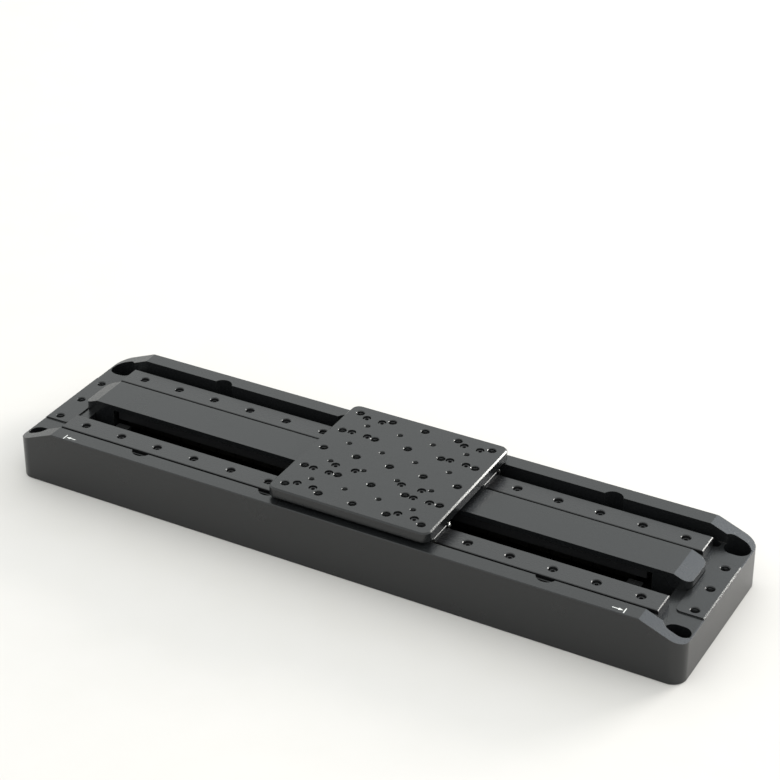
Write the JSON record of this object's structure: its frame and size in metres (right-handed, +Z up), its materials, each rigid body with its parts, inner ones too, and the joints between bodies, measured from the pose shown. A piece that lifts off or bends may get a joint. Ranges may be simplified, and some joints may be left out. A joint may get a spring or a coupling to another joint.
{
  "type": "linear translation stage",
  "caption": "Low, long direct-drive linear translation stage: a square carriage with tapped grids runs on two profile rails beside an off-centre motor cover.",
  "frame": {"origin": "centre of the underside of the base, on the face it stands on", "axes": "+X along the travel, away from the connector end; +Y across the base, from the forcer slot towards the motor cover; +Z up"},
  "size_m": [0.5, 0.13, 0.051],
  "materials": {
    "base_anodised": "black anodised, satin",
    "cover_anodised": "black anodised, satin",
    "carriage_anodised": "black anodised, satin",
    "stop_anodised": "black anodised, satin",
    "rail_steel": "black surface-treated, ground",
    "block_steel": "black surface-treated, ground",
    "screw_black_oxide": "black oxide",
    "internal_aluminium": "black anodised, satin",
    "back_iron": "black zinc",
    "magnet_nickel": "nickel plated",
    "coil_resin": "potted resin",
    "scale_steel": "fine-ruled steel",
    "read_head_aluminium": "anodised",
    "vane_steel": "blackened sheet",
    "sensor_plastic": "moulded",
    "end_cap_plastic": "moulded",
    "seal_rubber": "moulded",
    "bumper_polyurethane": "cast, dark grey",
    "connector_nickel": "nickel plated",
    "connector_plastic": "moulded"
  },
  "bodies": {
    "base": {"base": "base_anodised", "encoder_connector_insert": "connector_plastic", "encoder_connector_shell": "connector_nickel", "encoder_jack_posts": "connector_nickel", "encoder_scale": "scale_steel", "end_stop_screws": "screw_black_oxide", "front_rail": "rail_steel", "front_rail_screws": "screw_black_oxide", "left_bumper": "bumper_polyurethane", "left_end_stop": "stop_anodised", "left_limit_sensor": "sensor_plastic", "limit_sensor_screws": "screw_black_oxide", "lower_magnets": "magnet_nickel", "motor_connector_body": "connector_nickel", "motor_connector_insert": "connector_plastic", "motor_cover": "cover_anodised", "motor_cover_screws": "screw_black_oxide", "rear_rail": "rail_steel", "rear_rail_screws": "screw_black_oxide", "right_bumper": "bumper_polyurethane", "right_end_stop": "stop_anodised", "right_limit_sensor": "sensor_plastic", "track_base_screws": "screw_black_oxide", "track_lower_plate": "back_iron", "track_upper_plate": "back_iron", "track_web": "back_iron", "track_web_screws": "screw_black_oxide", "upper_magnets": "magnet_nickel"},
    "carriage": {"carriage_plate": "carriage_anodised", "block_screws": "screw_black_oxide", "forcer_bar": "internal_aluminium", "motor_coil": "coil_resin", "forcer_screws": "screw_black_oxide", "encoder_read_head": "read_head_aluminium", "read_head_bracket": "internal_aluminium", "read_head_bracket_screws": "screw_black_oxide", "limit_vane": "vane_steel", "limit_vane_screws": "screw_black_oxide", "bearing_end_seals": "seal_rubber", "front_left_bearing_block": "block_steel", "front_left_inner_end_cap": "end_cap_plastic", "front_left_outer_end_cap": "end_cap_plastic", "front_right_bearing_block": "block_steel", "front_right_inner_end_cap": "end_cap_plastic", "front_right_outer_end_cap": "end_cap_plastic", "rear_left_bearing_block": "block_steel", "rear_left_inner_end_cap": "end_cap_plastic", "rear_left_outer_end_cap": "end_cap_plastic", "rear_right_bearing_block": "block_steel", "rear_right_inner_end_cap": "end_cap_plastic", "rear_right_outer_end_cap": "end_cap_plastic"}
  },
  "joints": [
    {"name": "carriage_travel", "type": "slide", "parent": "base", "child": "carriage", "axis": [1, 0, 0], "range_m": [-0.1629, 0.1371]}
  ]
}
